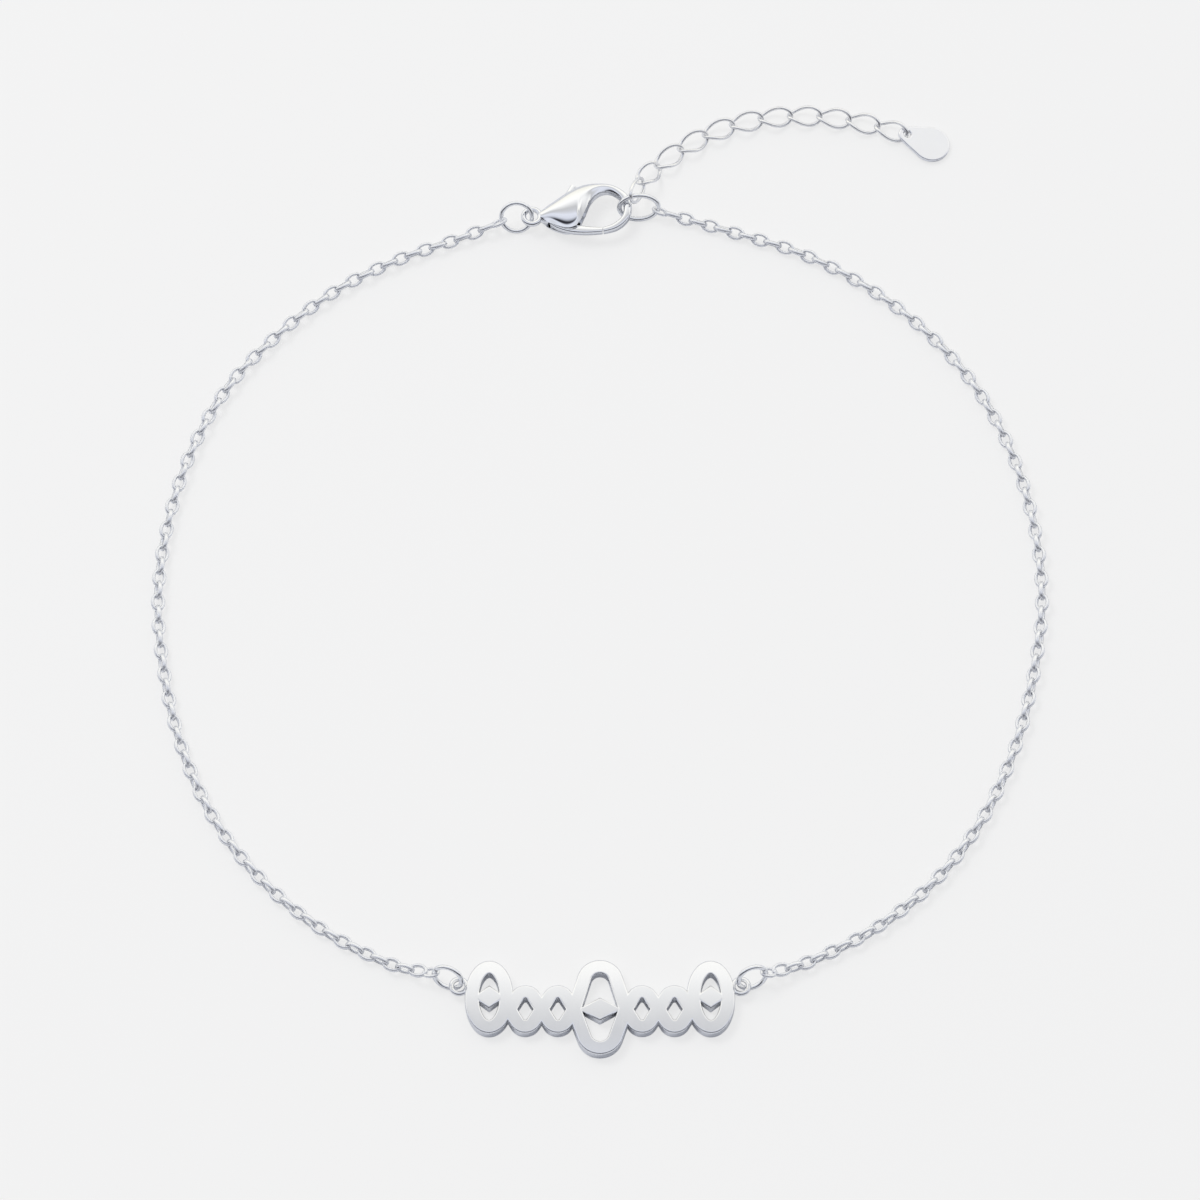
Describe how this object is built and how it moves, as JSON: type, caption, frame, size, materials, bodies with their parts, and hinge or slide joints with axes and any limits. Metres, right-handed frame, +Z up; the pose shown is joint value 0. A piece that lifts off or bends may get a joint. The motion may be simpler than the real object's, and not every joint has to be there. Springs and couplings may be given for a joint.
{
  "type": "name bracelet",
  "caption": "Fine cable chain bracelet with a pierced ornamental plate, lobster clasp, curb extender and teardrop tag, closed and lying flat.",
  "frame": {"origin": "middle of the bounding box in plan, on the surface that the bracelet lies on", "axes": "+Z up from that surface; +Y from the name plate towards the clasp; +X to the right, seen from above with the clasp at the top"},
  "size_m": [0.0628, 0.0742, 0.0024],
  "materials": {
    "silver_plate": "mirror-polished silver with bevelled edges",
    "silver_chain": "bright polished silver",
    "silver_rings": "bright polished silver wire",
    "silver_clasp": "mirror-polished silver",
    "silver_extender": "bright polished silver wire",
    "silver_tag": "polished silver sheet"
  },
  "bodies": {
    "bracelet": {"name_plate": "silver_plate", "plate_ring_left": "silver_rings", "plate_ring_right": "silver_rings", "clasp_ring": "silver_rings", "end_ring": "silver_rings", "chain_left": "silver_chain", "chain_right": "silver_chain", "end_link_clasp": "silver_chain", "end_link_end_ring": "silver_chain", "end_link_plate_left": "silver_chain", "end_link_plate_right": "silver_chain", "clasp_body": "silver_clasp", "extender_link_01": "silver_extender", "extender_link_02": "silver_extender", "extender_link_03": "silver_extender", "extender_link_04": "silver_extender", "extender_link_05": "silver_extender", "extender_link_06": "silver_extender", "extender_link_07": "silver_extender", "extender_link_08": "silver_extender", "extender_link_09": "silver_extender", "extender_link_10": "silver_extender", "extender_link_11": "silver_extender", "tag": "silver_tag"},
    "lever": {"clasp_lever": "silver_clasp"}
  },
  "joints": [
    {"name": "clasp_lever_hinge", "type": "hinge", "parent": "bracelet", "child": "lever", "pos_m": [-0.00315, 0.0277, 0.00105], "axis": [0, 0, 1], "range_deg": [0, 18], "stiffness_Nm_per_rad": 0.005}
  ]
}
